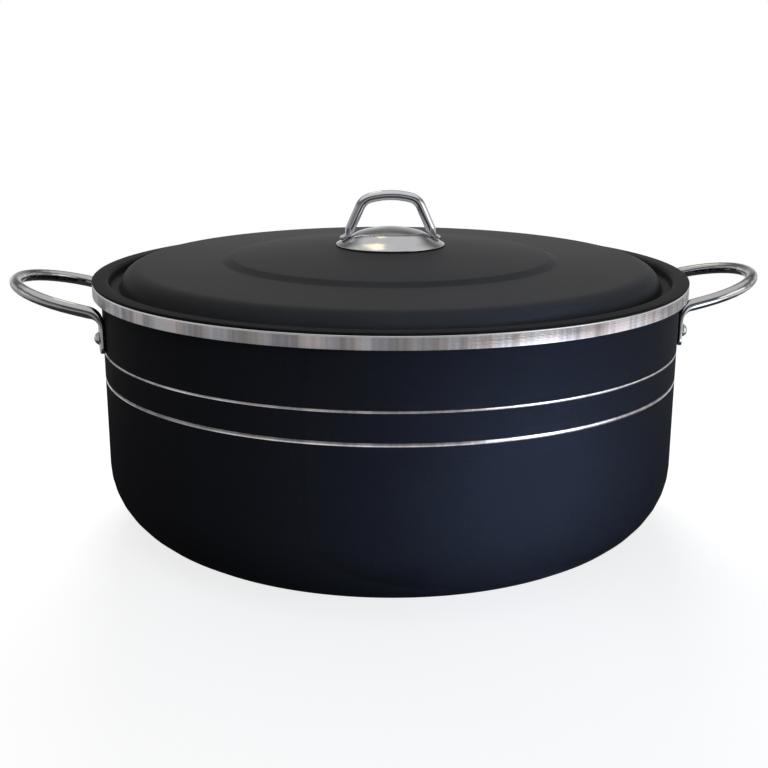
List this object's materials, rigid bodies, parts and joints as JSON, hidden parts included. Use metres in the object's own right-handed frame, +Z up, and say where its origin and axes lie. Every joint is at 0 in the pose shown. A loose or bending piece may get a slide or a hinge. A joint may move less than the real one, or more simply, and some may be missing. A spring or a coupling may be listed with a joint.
{
  "type": "lidded cooking pot",
  "caption": "Large round casserole in black stone-effect coating, with a polished rim band, riveted rod side handles and a loose lift-off lid.",
  "frame": {"origin": "centre of the base's underside, on the surface that the pot stands on", "axes": "+Z up out of the pot, X from handle to handle, front at -Y"},
  "size_m": [0.511, 0.4, 0.2257],
  "materials": {
    "pot_coating": "coated aluminium, black stone-effect, satin",
    "lid_coating": "coated aluminium, black stone-effect, satin",
    "handle_chrome": "bright chromed steel rod",
    "knob_chrome": "bright chromed pressed steel",
    "rivet_aluminium": "bare polished",
    "fastener_steel": "zinc plated"
  },
  "bodies": {
    "pot": {"pot_body": "pot_coating", "side_handle_left": "handle_chrome", "side_handle_right": "handle_chrome", "rivet_left_front": "rivet_aluminium", "rivet_left_back": "rivet_aluminium", "rivet_right_front": "rivet_aluminium", "rivet_right_back": "rivet_aluminium"},
    "lid": {"lid_shell": "lid_coating", "lid_knob_base": "knob_chrome", "lid_handle": "handle_chrome", "lid_screw": "fastener_steel", "lid_washer": "fastener_steel", "lid_nut": "fastener_steel"}
  },
  "joints": [
    {"name": "lid_lift", "type": "slide", "parent": "pot", "child": "lid", "axis": [0, 0, 1], "range_m": [0, 0.25]}
  ]
}
